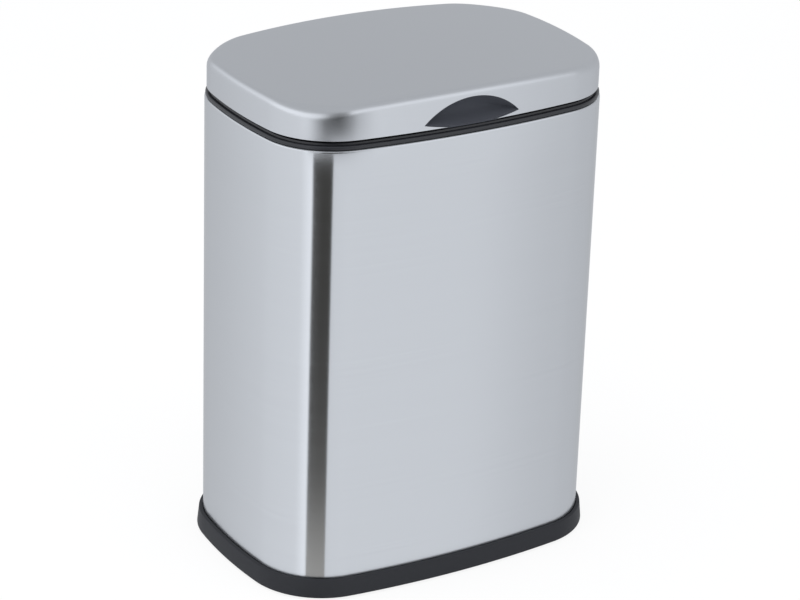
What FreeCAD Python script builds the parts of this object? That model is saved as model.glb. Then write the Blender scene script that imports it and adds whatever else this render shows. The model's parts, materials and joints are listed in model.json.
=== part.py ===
"""Cosmetic bin: a bowed steel body on a plastic base, a lift-out bucket and a domed hinged lid."""
import FreeCAD
import Part
import math
import os

V = FreeCAD.Vector

# Driving dimensions in millimetres.
# The origin is on the floor under the middle of the bin, +Z is up and the front faces -Y.

# Body plan: four bowed sides joined by round corners
body_half_width = 100.0
body_half_depth = 68.5
front_bow_radius = 515.0
side_bow_radius = 262.0
corner_radius = 39.0

# Rubber foot pads
foot_stand = 0.8
foot_pad_height = 3.0
foot_pad_radius = 6.5
foot_pad_edge = 0.5
foot_socket_wall = 1.8
foot_from_side = 27.0
foot_from_front = 24.0

# Base tray
base_height = 10.4
base_flare = 3.3
base_shoulder = 2.7
base_foot_edge = 0.8
base_top_edge = 0.9
base_floor_thickness = 2.5
base_floor_rise = 5.2
base_wall = 2.3
base_lip_drop = 1.0
base_rib_width = 1.6
base_rib_lift = 0.5
base_rib_spacing = 45.0

# Steel body shell, standing in a slot of the base, its upper edge curled inwards
shell_sheet = 0.5
shell_height = 245.4
shell_curl_radius = 1.2
shell_curl_width = 2.0
shell_slot_depth = 6.0
slot_clearance = 0.2
seam_width = 0.5
seam_depth = 0.2

# Collar that closes the top of the shell and carries the bucket and the hinge
collar_band_height = 3.3
collar_band_inset = 0.5
collar_crown_inset = 1.0
collar_crown_height = 1.0
collar_shoulder_inset = 0.6
collar_rim_width = 5.0
collar_skirt_depth = 16.6
collar_skirt_wall = 2.2
collar_clearance = 0.2
ledge_drop = 13.9
ledge_thickness = 2.5
ledge_width = 4.0
ledge_wall_slope = 0.4

# Lift-out bucket, kept clear of the hinge by a deeper bay at the rear
hinge_bay = 4.0
bucket_side_gap = 0.8
bucket_rim_width = 3.7
bucket_rim_thickness = 2.0
bucket_wall = 1.5
bucket_draft = 4.0
bucket_floor = 2.0
bucket_floor_gap = 2.0
bucket_edge_radius = 6.0
seat_gap = 0.1

# Ears and bail of the bucket
ear_thickness = 2.4
ear_half_width = 6.0
ear_depth = 8.0
ear_inset = 0.6
bail_wire_radius = 1.5
bail_bend_radius = 2.5
bail_corner_radius = 34.0
bail_from_front = 13.0
bail_leg_gap = 0.6
bail_stub = 1.1
bail_fit = 0.1
bail_rest_gap = 0.3
bail_grip_radius = 3.0
bail_grip_half_length = 40.0
bail_grip_edge = 0.8

# Domed steel lid
lid_gap = 1.4
lid_inset = 1.1
lid_height = 20.6
lid_dome_radius = 1260.0
lid_edge_radius = 3.5
lid_sheet = 0.6

# Plastic liner inside the lid
liner_clearance = 0.1
liner_wall = 2.0
liner_recess = 1.0
liner_panel_rise = 10.7
liner_panel_thickness = 2.0
liner_rib_height = 2.5
liner_rib_width = 1.6
liner_rib_inset = 26.0
liner_rib_spacing = 36.0

# Dished finger grip in the front of the lid: two arcs that meet in points
grip_rise = 14.5
grip_drop = 0.7
grip_top_radius = 39.5
grip_bottom_radius = 118.0
grip_flange = 0.8
grip_lip = 0.5
grip_sill = 1.3
grip_depth = 6.2
grip_back_wall = 1.6
grip_fit = 0.3
grip_hook_thickness = 1.4
grip_hook_height = 3.5
grip_hook_rise = 2.0
grip_hook_reach = 3.0
grip_hook_root = 8.0
grip_bowl = ((0.0, -0.1), (0.35, 0.5), (0.75, 1.9), (1.0, 4.0))

# Barrel hinge at the rear of the lid
hinge_half_length = 45.0
hinge_end_knuckle = 12.0
hinge_middle_knuckle = 12.0
hinge_knuckle_gap = 0.4
hinge_barrel_radius = 4.0
hinge_height = 8.1
hinge_from_back = 6.5
hinge_foot_thickness = 2.0
hinge_foot_front = 3.8
hinge_foot_back = 4.0
hinge_stand_half_depth = 3.4
hinge_side_gap = 3.0
hinge_top_gap = 1.5
hinge_front_gap = 1.5
shelf_drop = 11.0
shelf_side_margin = 1.5
shelf_bucket_gap = 0.6

# Hinge pin and its clip
pin_radius = 1.5
pin_running_fit = 0.05
pin_head_radius = 2.5
pin_head_length = 1.0
pin_tail_length = 1.6
clip_radius = 3.0
clip_thickness = 0.8

# Hinge leaf under the lid
leaf_length = 24.0
leaf_thickness = 2.0
leaf_corner_radius = 4.0

# Screws
screw_shank_radius = 1.3
screw_head_radius = 2.5
screw_head_height = 1.5
screw_cross_width = 0.7
screw_cross_length = 3.0
screw_cross_depth = 0.8
hinge_screw_length = 9.0
leaf_screw_length = 6.0
leaf_screw_from_pin = 17.0
leaf_screw_from_end = 6.0
leaf_screw_from_middle = 6.0
screw_boss_wall = 1.6
screw_boss_cap = 0.6

# Rubber bumpers under the lid
bumper_radius = 2.0
bumper_stem_radius = 1.0
bumper_stem_length = 4.0
bumper_gap = 0.1
bumper_boss_wall = 1.4
bumper_inset = 3.2
bumper_from_side = 40.0

# Heights and places that follow from the sizes above
base_bottom = foot_stand
base_top = base_bottom + base_height
base_floor_top = base_bottom + base_floor_rise
base_floor_bottom = base_floor_top - base_floor_thickness
shell_bottom = base_top - shell_slot_depth
shell_top = shell_bottom + shell_height
collar_top = shell_top + collar_band_height
collar_skirt_inset = shell_sheet + collar_clearance
collar_inner_inset = collar_skirt_inset + collar_skirt_wall
collar_skirt_bottom = shell_top - collar_skirt_depth
collar_skirt_top = shell_top - shell_curl_radius - collar_clearance
collar_neck_inset = shell_curl_width + collar_clearance
collar_rim_inset = collar_crown_inset + collar_rim_width
ledge_top = collar_top - ledge_drop
ledge_wall_inset = collar_rim_inset + ledge_wall_slope
bucket_rim_inset = ledge_wall_inset + bucket_side_gap
bucket_wall_inset = bucket_rim_inset + bucket_rim_width
ledge_mouth_inset = ledge_wall_inset + ledge_width
bucket_rim_bottom = ledge_top + seat_gap
bucket_rim_top = bucket_rim_bottom + bucket_rim_thickness
bucket_bottom = base_floor_top + bucket_floor_gap
bail_height = bucket_rim_top + bail_rest_gap + bail_grip_radius
bail_reach = body_half_depth - bail_from_front
lid_edge = collar_top + lid_gap
lid_top = lid_edge + lid_height
lid_inner_inset = lid_inset + lid_sheet
liner_inset = lid_inner_inset + liner_clearance
liner_bottom = lid_edge + liner_recess
liner_panel_bottom = lid_edge + liner_panel_rise
liner_panel_top = liner_panel_bottom + liner_panel_thickness
hinge_y = body_half_depth - hinge_from_back
hinge_z = collar_top + hinge_height
hinge_foot_top = collar_top + hinge_foot_thickness
notch_half_width = hinge_half_length + hinge_side_gap
end_knuckle_inner = hinge_half_length - hinge_end_knuckle
middle_half = hinge_middle_knuckle / 2
lid_knuckle_start = middle_half + hinge_knuckle_gap
lid_knuckle_end = end_knuckle_inner - hinge_knuckle_gap
front_inner_face = -(body_half_depth - lid_inner_inset)


def plan_wire(inset, z, rear_bay=0.0):
    """The plan of the bin at height z, drawn in by inset all round and by rear_bay more at the rear."""
    half_width = body_half_width - inset
    half_depth = body_half_depth - inset - rear_bay / 2
    round_radius = corner_radius - inset
    front_centre = V(0, front_bow_radius - inset - half_depth, 0)
    side_centre = V(half_width - side_bow_radius + inset, 0, 0)
    front_reach = front_bow_radius - corner_radius
    side_reach = side_bow_radius - corner_radius
    apart = front_centre.distanceToPoint(side_centre)
    along = (front_reach ** 2 - side_reach ** 2 + apart ** 2) / (2 * apart)
    across = math.sqrt(front_reach ** 2 - along ** 2)
    aim = (side_centre - front_centre).normalize()
    corner = front_centre + aim * along + V(-aim.y, aim.x, 0) * across
    to_front = (corner - front_centre).normalize()
    to_side = (corner - side_centre).normalize()
    front_end = corner + to_front * round_radius
    side_end = corner + to_side * round_radius
    corner_middle = corner + (to_front + to_side).normalize() * round_radius

    def at(point, mirror_x, mirror_y):
        return V(mirror_x * point.x, mirror_y * point.y - rear_bay / 2, z)

    front_middle = V(0, -half_depth, 0)
    side_middle = V(half_width, 0, 0)
    stations = (
        (at(front_end, -1, 1), at(front_middle, 1, 1), at(front_end, 1, 1)),
        (at(front_end, 1, 1), at(corner_middle, 1, 1), at(side_end, 1, 1)),
        (at(side_end, 1, 1), at(side_middle, 1, 1), at(side_end, 1, -1)),
        (at(side_end, 1, -1), at(corner_middle, 1, -1), at(front_end, 1, -1)),
        (at(front_end, 1, -1), at(front_middle, 1, -1), at(front_end, -1, -1)),
        (at(front_end, -1, -1), at(corner_middle, -1, -1), at(side_end, -1, -1)),
        (at(side_end, -1, -1), at(side_middle, -1, 1), at(side_end, -1, 1)),
        (at(side_end, -1, 1), at(corner_middle, -1, 1), at(front_end, -1, 1)),
    )
    return Part.Wire([Part.Arc(*points).toShape() for points in stations])


def prism(inset, bottom, top, rear_bay=0.0):
    """A straight-sided block of the plan."""
    return Part.Face(plan_wire(inset, bottom, rear_bay)).extrude(V(0, 0, top - bottom))


def banded(sections, rear_bay=0.0):
    """A block whose side runs straight from one (inset, height) to the next."""
    wires = [plan_wire(inset, z, rear_bay) for inset, z in sections]
    return Part.makeLoft(wires, True, True)


def box(low, high):
    """A block between two opposite corners."""
    size = high - low
    return Part.makeBox(size.x, size.y, size.z, low)


def bar(radius, start, end):
    """A round bar along X at the hinge line."""
    return Part.makeCylinder(radius, end - start, V(start, hinge_y, hinge_z), V(1, 0, 0))


def post(radius, x, y, bottom, top):
    """An upright round post."""
    return Part.makeCylinder(radius, top - bottom, V(x, y, bottom))


def screw(x, y, seat, length, upwards):
    """A pan-head screw whose head bears on the seat height; upwards means that it points up."""
    way = 1 if upwards else -1
    shank = Part.makeCylinder(screw_shank_radius, length, V(x, y, seat), V(0, 0, way))
    head = Part.makeCylinder(screw_head_radius, screw_head_height, V(x, y, seat), V(0, 0, -way))
    crown = seat - way * screw_head_height
    floor = crown + way * screw_cross_depth
    low, high = min(crown, floor), max(crown, floor)
    arm = screw_cross_length / 2
    half = screw_cross_width / 2
    cross = box(V(x - arm, y - half, low), V(x + arm, y + half, high))
    cross = cross.fuse(box(V(x - half, y - arm, low), V(x + half, y + arm, high)))
    return shank.fuse(head).removeSplitter().cut(cross)


def foot_places():
    """The four foot pads by name."""
    x = body_half_width - foot_from_side
    y = body_half_depth - foot_from_front
    return {
        "front_left": (-x, -y),
        "front_right": (x, -y),
        "rear_left": (-x, y),
        "rear_right": (x, y),
    }


def make_foot_pad(x, y):
    pad = post(foot_pad_radius, x, y, 0, foot_pad_height)
    lower = [edge for edge in pad.Edges if edge.BoundBox.ZMax < foot_pad_edge]
    return pad.makeChamfer(foot_pad_edge, lower)


def make_base_tray():
    tray = banded((
        (base_foot_edge - base_flare, base_bottom),
        (-base_flare, base_bottom + base_foot_edge),
        (-base_shoulder, base_top - base_top_edge),
        (base_top_edge - base_shoulder, base_top),
    ))
    slot_inner = shell_sheet + slot_clearance
    wall_inner = slot_inner + base_wall
    slot = prism(-slot_clearance, shell_bottom, base_top).cut(prism(slot_inner, shell_bottom, base_top))
    lip = prism(slot_inner, base_top - base_lip_drop, base_top)
    well = prism(wall_inner, base_floor_top, base_top)
    underside = prism(wall_inner, base_bottom, base_floor_bottom)
    tray = tray.cut(slot).cut(lip).cut(well).cut(underside)

    rib_bottom = base_bottom + base_rib_lift
    ribs = box(
        V(-body_half_width, -base_rib_width / 2, rib_bottom),
        V(body_half_width, base_rib_width / 2, base_floor_bottom),
    )
    for place in (-base_rib_spacing, 0, base_rib_spacing):
        ribs = ribs.fuse(box(
            V(place - base_rib_width / 2, -body_half_depth, rib_bottom),
            V(place + base_rib_width / 2, body_half_depth, base_floor_bottom),
        ))
    tray = tray.fuse(ribs.common(prism(wall_inner, rib_bottom, base_floor_bottom)))
    for x, y in foot_places().values():
        tray = tray.fuse(post(foot_pad_radius + foot_socket_wall, x, y, base_bottom, base_floor_top))
    for x, y in foot_places().values():
        tray = tray.cut(post(foot_pad_radius, x, y, base_bottom, foot_pad_height))
    return tray.removeSplitter()


def rounded_top(block, radius):
    """A block with its upper edge rounded."""
    highest = max(block.Faces, key=lambda face: face.CenterOfMass.z)
    return block.makeFillet(radius, highest.Edges)


def make_body_shell():
    outside = rounded_top(prism(0, shell_bottom, shell_top), shell_curl_radius)
    inside = prism(shell_sheet, shell_bottom, shell_top - shell_sheet)
    inside = rounded_top(inside, shell_curl_radius - shell_sheet)
    shell = outside.cut(inside).cut(prism(shell_curl_width, shell_bottom, shell_top))
    seam = box(
        V(-seam_width / 2, body_half_depth - seam_depth, shell_bottom),
        V(seam_width / 2, body_half_depth + seam_depth, shell_top),
    )
    return shell.cut(seam)


def hinge_screw_places():
    """The screws of the hinge block stand under the middles of the lid knuckles."""
    x = (lid_knuckle_start + lid_knuckle_end) / 2
    return ((-x, hinge_y), (x, hinge_y))


def make_top_collar():
    collar = banded((
        (collar_band_inset, shell_top),
        (collar_shoulder_inset, collar_top - collar_crown_height),
        (collar_crown_inset, collar_top),
    ))
    collar = collar.fuse(prism(collar_neck_inset, collar_skirt_top, shell_top))
    collar = collar.fuse(prism(collar_skirt_inset, collar_skirt_bottom, collar_skirt_top)).removeSplitter()
    throat_top = Part.Face(plan_wire(collar_rim_inset, collar_top))
    throat = Part.makeLoft(
        [throat_top.OuterWire, plan_wire(ledge_wall_inset, ledge_top, hinge_bay)], True, True)
    mouth = prism(ledge_mouth_inset, collar_skirt_bottom, ledge_top, hinge_bay)
    under_ledge = prism(collar_inner_inset, collar_skirt_bottom, ledge_top - ledge_thickness)
    collar = collar.cut(throat).cut(mouth).cut(under_ledge)

    bucket_rear = body_half_depth - bucket_rim_inset - hinge_bay
    shelf_half = hinge_half_length + shelf_side_margin
    shelf = box(
        V(-shelf_half, bucket_rear + shelf_bucket_gap, collar_top - shelf_drop),
        V(shelf_half, body_half_depth, collar_top),
    )
    collar = collar.fuse(shelf.common(prism(collar_inner_inset, collar_top - shelf_drop, collar_top)))
    for x, y in hinge_screw_places():
        pilot = collar_top + hinge_foot_thickness - hinge_screw_length
        collar = collar.cut(post(screw_shank_radius, x, y, pilot, collar_top))
    return collar.removeSplitter()


def fixed_knuckles():
    """The spans along X of the knuckles that stand on the collar."""
    return (
        (-hinge_half_length, -end_knuckle_inner),
        (-middle_half, middle_half),
        (end_knuckle_inner, hinge_half_length),
    )


def lid_knuckles():
    """The spans along X of the knuckles that turn with the lid."""
    return (
        (-lid_knuckle_end, -lid_knuckle_start),
        (lid_knuckle_start, lid_knuckle_end),
    )


def make_hinge_block():
    block = box(
        V(-hinge_half_length, hinge_y - hinge_foot_front, collar_top),
        V(hinge_half_length, hinge_y + hinge_foot_back, hinge_foot_top),
    )
    for start, end in fixed_knuckles():
        stand = box(
            V(start, hinge_y - hinge_stand_half_depth, hinge_foot_top),
            V(end, hinge_y + hinge_stand_half_depth, hinge_z),
        )
        block = block.fuse(stand).fuse(bar(hinge_barrel_radius, start, end))
    block = block.cut(bar(pin_radius, -hinge_half_length, hinge_half_length))
    for x, y in hinge_screw_places():
        block = block.cut(post(screw_shank_radius, x, y, collar_top, hinge_foot_top))
    return block.removeSplitter()


def make_hinge_screws():
    return Part.makeCompound([
        screw(x, y, hinge_foot_top, hinge_screw_length, False) for x, y in hinge_screw_places()])


def make_hinge_pin():
    head_end = -hinge_half_length
    shaft = bar(pin_radius, head_end, hinge_half_length + pin_tail_length)
    return shaft.fuse(bar(pin_head_radius, head_end - pin_head_length, head_end)).removeSplitter()


def make_pin_clip():
    start = hinge_half_length
    ring = bar(clip_radius, start, start + clip_thickness)
    return ring.cut(bar(pin_radius, start, start + clip_thickness))


def dome_block(inset, bottom, sheet):
    """The lid as a full block, its top a shallow dome with a rounded edge, sheet below the outside."""
    radius = lid_dome_radius - sheet
    ball = Part.makeSphere(radius)
    ball.rotate(V(0, 0, 0), V(0, 1, 0), 90)
    ball.translate(V(0, 0, lid_top - lid_dome_radius))
    block = prism(inset, bottom, lid_top + lid_edge_radius).common(ball)
    return rounded_top(block, lid_edge_radius - sheet)


def grip_wire(inset, y, sill=0.0):
    """The pointed outline of the grip, drawn in by inset; sill lifts its lower arc."""
    top_radius = grip_top_radius - inset
    low_radius = grip_bottom_radius - inset
    top_centre = lid_edge + grip_rise - grip_top_radius
    low_centre = lid_edge - grip_drop + sill + grip_bottom_radius
    square = low_radius ** 2 - low_centre ** 2 - top_radius ** 2 + top_centre ** 2
    tip_z = square / (2 * (top_centre - low_centre))
    tip_x = math.sqrt(top_radius ** 2 - (tip_z - top_centre) ** 2)
    left = V(-tip_x, y, tip_z)
    right = V(tip_x, y, tip_z)
    upper = Part.Arc(left, V(0, y, top_centre + top_radius), right).toShape()
    lower = Part.Arc(right, V(0, y, low_centre - low_radius), left).toShape()
    return Part.Wire([upper, lower])


def grip_prism(inset, front, back):
    """A block of the grip outline that runs through the front of the lid."""
    return Part.Face(grip_wire(inset, front)).extrude(V(0, back - front, 0))


def grip_back():
    return front_inner_face + grip_depth + grip_back_wall


def make_finger_grip():
    block = grip_prism(-grip_flange, -body_half_depth, grip_back())
    block = block.common(prism(lid_inner_inset, lid_edge - grip_lip, lid_top))
    bowl = Part.makeLoft([
        grip_wire(inset, front_inner_face + share * grip_depth, grip_sill) for share, inset in grip_bowl
    ], True, False)
    mouth_inset = grip_bowl[0][1]
    mouth = Part.Face(grip_wire(mouth_inset, -body_half_depth, grip_sill))
    mouth = mouth.extrude(V(0, body_half_depth + front_inner_face, 0))
    hook_inset = liner_inset + liner_wall + grip_fit
    hook_bottom = lid_edge + grip_hook_rise
    hook_top = hook_bottom + grip_hook_height
    hook_band = prism(hook_inset, hook_bottom, hook_top)
    hook_band = hook_band.cut(prism(hook_inset + grip_hook_thickness, hook_bottom, hook_top))
    tip = grip_wire(-grip_flange, 0).BoundBox.XMax
    for start in (-tip - grip_hook_reach, tip - grip_hook_root):
        end = start + grip_hook_root + grip_hook_reach
        reach = box(V(start, -body_half_depth, hook_bottom), V(end, 0, hook_top))
        block = block.fuse(hook_band.common(reach))
    return block.cut(bowl.fuse(mouth)).removeSplitter()


def make_lid_shell():
    shell = dome_block(lid_inset, lid_edge, 0).cut(dome_block(lid_inner_inset, lid_edge, lid_sheet))
    shell = shell.cut(grip_prism(0, -body_half_depth, front_inner_face + lid_sheet))
    notch = box(
        V(-notch_half_width, hinge_y, lid_edge),
        V(notch_half_width, body_half_depth, hinge_z + hinge_barrel_radius + hinge_top_gap),
    )
    return shell.cut(notch).removeSplitter()


def bumper_places():
    """The four bumpers by name, over the rim of the collar; the front two follow the front's bow."""
    inset = collar_crown_inset + bumper_inset
    across = body_half_width - bumper_from_side
    bow = front_bow_radius - inset
    drop = bow - math.sqrt(bow ** 2 - across ** 2)
    front = drop + inset - body_half_depth
    side = body_half_width - inset
    return {
        "front_left": (-across, front),
        "front_right": (across, front),
        "left": (-side, 0),
        "right": (side, 0),
    }


def leaf_screw_places():
    y = hinge_y - leaf_screw_from_pin
    inner = lid_knuckle_start + leaf_screw_from_middle
    outer = lid_knuckle_end - leaf_screw_from_end
    return tuple((x, y) for x in (-outer, -inner, inner, outer))


def make_lid_liner():
    liner = prism(liner_inset, liner_bottom, liner_panel_top)
    liner = liner.cut(prism(liner_inset + liner_wall, liner_bottom, liner_panel_bottom))
    ribs = []
    rib_bottom = liner_panel_bottom - liner_rib_height
    half = liner_rib_width / 2
    for place in (-2, -1, 0, 1, 2):
        x = place * liner_rib_spacing
        ribs.append(box(
            V(x - half, -body_half_depth, rib_bottom),
            V(x + half, hinge_y - leaf_length, liner_panel_bottom),
        ))
    ribs.append(box(V(-body_half_width, -half, rib_bottom), V(body_half_width, half, liner_panel_bottom)))
    for rib in ribs:
        liner = liner.fuse(rib.common(prism(liner_rib_inset, rib_bottom, liner_panel_bottom)))
    inside = prism(liner_inset, liner_bottom, liner_panel_top)
    for x, y in bumper_places().values():
        boss = post(bumper_radius + bumper_boss_wall, x, y, liner_bottom, liner_panel_bottom)
        liner = liner.fuse(boss.common(inside))
    for x, y in leaf_screw_places():
        boss_top = liner_panel_bottom - leaf_thickness + leaf_screw_length + screw_boss_cap
        liner = liner.fuse(post(screw_shank_radius + screw_boss_wall, x, y, liner_panel_bottom, boss_top))
    for x, y in bumper_places().values():
        liner = liner.cut(post(bumper_stem_radius, x, y, liner_bottom, liner_bottom + bumper_stem_length))
    for x, y in leaf_screw_places():
        hole_top = liner_panel_bottom - leaf_thickness + leaf_screw_length
        liner = liner.cut(post(screw_shank_radius, x, y, liner_panel_bottom, hole_top))
    grip_room = grip_prism(-grip_flange - grip_fit, -body_half_depth, grip_back() + grip_fit)
    hinge_room = box(
        V(-notch_half_width, hinge_y - hinge_barrel_radius - hinge_front_gap, liner_bottom),
        V(notch_half_width, body_half_depth, liner_panel_top),
    )
    return liner.cut(grip_room).cut(hinge_room).removeSplitter()


def make_lid_leaf():
    bottom = liner_panel_bottom - leaf_thickness
    plate = box(
        V(-lid_knuckle_end, hinge_y - leaf_length, bottom),
        V(lid_knuckle_end, hinge_y, liner_panel_bottom),
    )
    front = [
        edge for edge in plate.Edges
        if edge.BoundBox.ZLength > leaf_thickness / 2 and edge.BoundBox.YMax < hinge_y - leaf_length / 2
    ]
    leaf = plate.makeFillet(leaf_corner_radius, front)
    for start, end in lid_knuckles():
        leaf = leaf.fuse(bar(hinge_barrel_radius, start, end))
    leaf = leaf.cut(box(
        V(-lid_knuckle_start, hinge_y - hinge_barrel_radius - hinge_front_gap, bottom - hinge_barrel_radius),
        V(lid_knuckle_start, hinge_y + hinge_barrel_radius, liner_panel_bottom),
    ))
    leaf = leaf.cut(bar(pin_radius + pin_running_fit, -lid_knuckle_end, lid_knuckle_end))
    for x, y in leaf_screw_places():
        leaf = leaf.cut(post(screw_shank_radius, x, y, bottom, liner_panel_bottom))
    return leaf.removeSplitter()


def make_leaf_screws():
    seat = liner_panel_bottom - leaf_thickness
    return Part.makeCompound([screw(x, y, seat, leaf_screw_length, True) for x, y in leaf_screw_places()])


def make_bumper(x, y):
    pad = post(bumper_radius, x, y, collar_top + bumper_gap, liner_bottom)
    stem = post(bumper_stem_radius, x, y, liner_bottom, liner_bottom + bumper_stem_length)
    return pad.fuse(stem).removeSplitter()


def bail_leg():
    """How far the bail's legs stand from the middle of the bin."""
    return body_half_width - bucket_rim_inset - bail_wire_radius - bail_leg_gap


def ear_outer():
    """The outer face of the bucket's right ear, just inside the bucket wall."""
    return body_half_width - bucket_wall_inset - bucket_wall - ear_inset


def make_inner_bucket():
    low_inset = bucket_wall_inset + bucket_draft
    outside = banded(((low_inset, bucket_bottom), (bucket_wall_inset, bucket_rim_top)), hinge_bay)
    inside = banded((
        (low_inset + bucket_wall, bucket_bottom + bucket_floor),
        (bucket_wall_inset + bucket_wall, bucket_rim_top),
    ), hinge_bay)

    def round_floor(block, radius):
        lowest = min(block.Faces, key=lambda face: face.CenterOfMass.z)
        return block.makeFillet(radius, lowest.Edges)

    inside = round_floor(inside, bucket_edge_radius - bucket_wall)
    bucket = round_floor(outside, bucket_edge_radius)
    bucket = bucket.fuse(prism(bucket_rim_inset, bucket_rim_bottom, bucket_rim_top, hinge_bay)).cut(inside)
    ear_inner = ear_outer() - ear_thickness
    wall_face = body_half_width - bucket_wall_inset
    for side in (-1, 1):
        ear = box(
            V(ear_inner, -ear_half_width, bucket_rim_bottom - ear_depth),
            V(ear_outer(), ear_half_width, bail_height),
        )
        eye = V(ear_inner, 0, bail_height)
        ear = ear.fuse(Part.makeCylinder(ear_half_width, ear_thickness, eye, V(1, 0, 0)))
        ear = ear.fuse(box(
            V(ear_outer(), -ear_half_width, bucket_rim_bottom - ear_depth),
            V(wall_face, ear_half_width, bucket_rim_bottom),
        ))
        ear = ear.cut(Part.makeCylinder(bail_wire_radius + bail_fit, ear_thickness, eye, V(1, 0, 0)))
        if side < 0:
            ear = ear.mirror(V(0, 0, 0), V(1, 0, 0))
        bucket = bucket.fuse(ear)
    return bucket.removeSplitter()


def make_bail_wire():
    """One wire from ear to ear: along the bowed sides, round the corners and straight across the front."""
    bow = side_bow_radius - body_half_width + bail_leg()
    bend = bail_bend_radius
    turn = bail_corner_radius
    turn_y = turn - bail_reach

    def spot(x, y):
        return V(x, y, bail_height)

    bow_centre = spot(bail_leg() - bow, 0)
    bend_centre = spot(bow_centre.x + math.sqrt((bow - bend) ** 2 - bend ** 2), -bend)
    turn_centre = spot(bow_centre.x + math.sqrt((bow - turn) ** 2 - turn_y ** 2), turn_y)

    def on_bow(centre):
        return bow_centre + (centre - bow_centre).normalize() * bow

    def arc(centre, first, last):
        radius = centre.distanceToPoint(first)
        middle = centre + (first + last - centre * 2).normalize() * radius
        return Part.Arc(first, middle, last).toShape()

    stub = spot(ear_outer() - ear_thickness - bail_stub, 0)
    bend_in = spot(bend_centre.x, 0)
    bend_out = on_bow(bend_centre)
    turn_in = on_bow(turn_centre)
    turn_out = spot(turn_centre.x, -bail_reach)
    side = [
        Part.LineSegment(stub, bend_in).toShape(),
        arc(bend_centre, bend_in, bend_out),
        arc(bow_centre, bend_out, turn_in),
        arc(turn_centre, turn_in, turn_out),
    ]
    front = Part.LineSegment(turn_out, spot(-turn_out.x, turn_out.y)).toShape()
    other_side = [edge.mirror(V(0, 0, 0), V(1, 0, 0)) for edge in reversed(side)]
    path = Part.Wire(side + [front] + other_side)
    section = Part.Wire([Part.makeCircle(bail_wire_radius, stub, V(1, 0, 0))])
    return path.makePipeShell([section], True, False)


def make_bail_grip():
    half = bail_grip_half_length
    base = V(-half, -bail_reach, bail_height)
    sleeve = Part.makeCylinder(bail_grip_radius, 2 * half, base, V(1, 0, 0))
    sleeve = sleeve.makeFillet(bail_grip_edge, [edge for edge in sleeve.Edges if edge.BoundBox.XLength < half])
    return sleeve.cut(Part.makeCylinder(bail_wire_radius, 2 * half, base, V(1, 0, 0)))


def make_all():
    """Every piece of the bin by name."""
    pieces = {
        "base_tray": make_base_tray(),
        "body_shell": make_body_shell(),
        "top_collar": make_top_collar(),
        "hinge_block": make_hinge_block(),
        "hinge_screws": make_hinge_screws(),
        "hinge_pin": make_hinge_pin(),
        "pin_clip": make_pin_clip(),
        "lid_shell": make_lid_shell(),
        "lid_liner": make_lid_liner(),
        "lid_leaf": make_lid_leaf(),
        "leaf_screws": make_leaf_screws(),
        "finger_grip": make_finger_grip(),
        "inner_bucket": make_inner_bucket(),
        "bail_wire": make_bail_wire(),
        "bail_grip": make_bail_grip(),
    }
    for name, (x, y) in foot_places().items():
        pieces["foot_pad_" + name] = make_foot_pad(x, y)
    for name, (x, y) in bumper_places().items():
        pieces["lid_bumper_" + name] = make_bumper(x, y)
    return pieces


os.makedirs("parts", exist_ok=True)
for name, shape in make_all().items():
    print(name, "solids", len(shape.Solids), "valid", shape.isValid(), "volume", round(shape.Volume, 1))
    shape.exportStep("parts/" + name + ".step")
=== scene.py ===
# %% [markdown]
# # A cosmetic bin
# A small bathroom bin: a bowed steel body on a black base, a domed steel lid with a dished finger grip, and
# a bucket that lifts out. The CAD model gives every piece its place. Here each piece is drawn again with
# finer curves and real finishes, and seated in the same frame. All lengths are in metres.

import json
import math

import bmesh
import bpy
from mathutils import Matrix, Vector


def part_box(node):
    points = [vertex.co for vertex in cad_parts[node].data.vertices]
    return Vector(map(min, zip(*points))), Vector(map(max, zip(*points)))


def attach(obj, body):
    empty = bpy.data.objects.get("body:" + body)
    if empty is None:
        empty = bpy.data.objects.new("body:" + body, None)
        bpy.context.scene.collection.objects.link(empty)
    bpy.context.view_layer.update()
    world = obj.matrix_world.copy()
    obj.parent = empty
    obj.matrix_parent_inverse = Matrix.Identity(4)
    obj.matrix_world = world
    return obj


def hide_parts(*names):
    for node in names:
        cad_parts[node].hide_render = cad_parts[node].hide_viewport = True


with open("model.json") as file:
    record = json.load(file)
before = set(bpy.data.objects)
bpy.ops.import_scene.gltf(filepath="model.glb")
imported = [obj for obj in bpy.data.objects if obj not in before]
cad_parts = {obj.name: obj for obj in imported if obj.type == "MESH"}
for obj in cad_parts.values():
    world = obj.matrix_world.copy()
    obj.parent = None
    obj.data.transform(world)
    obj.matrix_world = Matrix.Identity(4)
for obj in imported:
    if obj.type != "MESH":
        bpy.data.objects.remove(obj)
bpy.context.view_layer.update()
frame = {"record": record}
record = frame["record"]

# %% [markdown]
# ## The plan of the bin
# Seen from above, the bin is four shallow arcs joined by four round corners. The base, body, collar, lid
# and bucket all follow this plan at different insets. It could be drawn anew for every piece, but an offset
# of an arc keeps the arc's centre, so one list of centres, radii and directions serves them all. The bucket
# and the collar's ledge use a second plan whose rear is drawn in, to leave a bay for the hinge.

# %% Points round the plan
half_width = 0.100
half_depth = 0.0685
front_bow = 0.515
side_bow = 0.262
corner_round = 0.039
hinge_bay = 0.004
front_steps, corner_steps, side_steps = 40, 32, 28


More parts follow.
